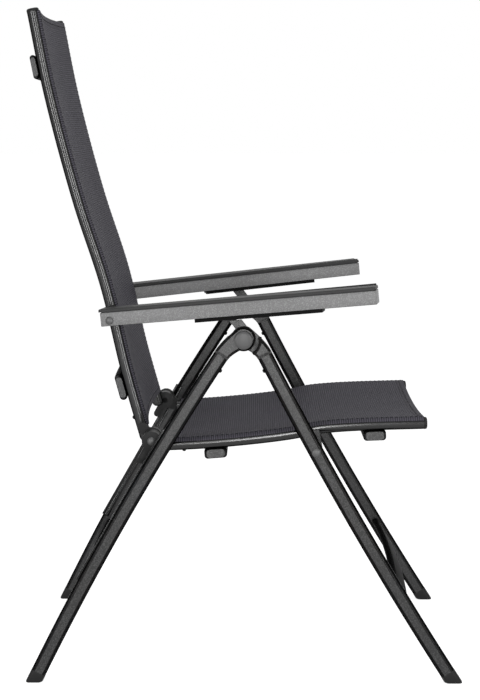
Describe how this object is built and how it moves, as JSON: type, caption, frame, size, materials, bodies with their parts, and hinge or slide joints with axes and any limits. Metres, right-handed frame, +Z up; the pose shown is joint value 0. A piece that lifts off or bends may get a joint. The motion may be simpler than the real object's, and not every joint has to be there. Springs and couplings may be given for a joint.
{
  "type": "folding garden chair",
  "caption": "Folding high-back garden chair with armrests: scissor tube legs, a stretched fabric seat and a reclining fabric back held by ratchet armrests.",
  "frame": {"origin": "on the floor, at the middle of the chair's footprint box", "axes": "+Z up, the sitter faces -Y, X from side to side with the mirror plane at X = 0"},
  "size_m": [0.6662, 0.7231, 1.1113],
  "materials": {
    "frame": "satin powder coat, anthracite with a fine metallic speckle",
    "arm": "satin powder coat, anthracite, seen in a brighter light",
    "plastic": "black, matt",
    "pad": "dark grey, fine grain",
    "bolt": "dark coated steel",
    "sling": "charcoal coated mesh with fine cross ribs"
  },
  "bodies": {
    "rear_legs": {"left_rear_leg_tube": "frame", "right_rear_leg_tube": "frame", "left_rear_knuckle": "frame", "right_rear_knuckle": "frame", "left_rear_foot": "plastic", "right_rear_foot": "plastic", "left_hub_bolt": "bolt", "right_hub_bolt": "bolt", "left_hub_cap": "frame", "right_hub_cap": "frame", "left_slide_rail": "frame", "right_slide_rail": "frame", "left_rear_leg_screw": "plastic", "right_rear_leg_screw": "plastic", "rear_leg_crossbar": "frame"},
    "front_legs": {"left_front_leg_tube": "frame", "right_front_leg_tube": "frame", "left_front_knuckle": "frame", "right_front_knuckle": "frame", "left_front_foot": "plastic", "right_front_foot": "plastic", "left_front_leg_screw": "plastic", "right_front_leg_screw": "plastic", "left_seat_pivot_rivet": "bolt", "right_seat_pivot_rivet": "bolt", "front_leg_crossbar": "frame"},
    "seat": {"left_seat_tube": "frame", "right_seat_tube": "frame", "left_seat_tube_cap": "plastic", "right_seat_tube_cap": "plastic", "left_seat_pivot_lug": "frame", "right_seat_pivot_lug": "frame", "left_seat_hinge_bracket": "plastic", "right_seat_hinge_bracket": "plastic", "seat_front_crossbar": "frame", "seat_rear_crossbar": "frame", "seat_sling": "sling"},
    "carriages": {"left_slide_carriage": "plastic", "right_slide_carriage": "plastic"},
    "hinge_bolts": {"left_hinge_bolt": "bolt", "right_hinge_bolt": "bolt", "left_back_hinge_bracket": "plastic", "right_back_hinge_bracket": "plastic"},
    "back": {"left_back_tube": "frame", "right_back_tube": "frame", "left_back_tube_cap": "plastic", "right_back_tube_cap": "plastic", "back_upper_crossbar": "frame", "back_lower_crossbar": "frame", "back_sling": "sling"},
    "arm_spacers": {"left_arm_spacer": "plastic", "right_arm_spacer": "plastic"},
    "arms": {"left_arm_pivot_screw": "bolt", "right_arm_pivot_screw": "bolt", "left_armrest_profile": "arm", "right_armrest_profile": "arm", "left_armrest_pad": "pad", "right_armrest_pad": "pad", "left_ratchet_rail": "plastic", "right_ratchet_rail": "plastic"}
  },
  "joints": [
    {"name": "fold", "type": "hinge", "parent": "rear_legs", "child": "front_legs", "pos_m": [0, 0, 0.573], "axis": [-1, 0, 0], "range_deg": [-55, 0]},
    {"name": "seat_pivot", "type": "hinge", "parent": "front_legs", "child": "seat", "pos_m": [0, -0.11897, 0.38823], "axis": [-1, 0, 0], "range_deg": [0, 101.8]},
    {"name": "carriage_turn", "type": "hinge", "parent": "seat", "child": "carriages", "pos_m": [0, 0.15209, 0.40217], "axis": [-1, 0, 0], "range_deg": [-46.8, 0]},
    {"name": "back_fold", "type": "hinge", "parent": "seat", "child": "hinge_bolts", "pos_m": [0, 0.15209, 0.40217], "axis": [-1, 0, 0], "range_deg": [-82.6, 0]},
    {"name": "recline", "type": "hinge", "parent": "hinge_bolts", "child": "back", "pos_m": [0, 0.1699, 0.41741], "axis": [-1, 0, 0], "range_deg": [-3, 38]},
    {"name": "arm_recline", "type": "hinge", "parent": "back", "child": "arm_spacers", "pos_m": [0, 0.21972, 0.615], "axis": [-1, 0, 0], "range_deg": [-26.7, 2.2]},
    {"name": "arm_fold", "type": "hinge", "parent": "arm_spacers", "child": "arms", "pos_m": [0, 0.21673, 0.602], "axis": [-1, 0, 0], "range_deg": [0, 89.8]}
  ],
  "couplings": [
    {"joint": "seat_pivot", "follows": "fold", "ratio": -1.85},
    {"joint": "carriage_turn", "follows": "fold", "ratio": 0.85},
    {"joint": "back_fold", "follows": "fold", "ratio": 1.5},
    {"joint": "arm_recline", "follows": "recline", "ratio": -0.7},
    {"joint": "arm_fold", "follows": "fold", "ratio": -1.6325}
  ]
}
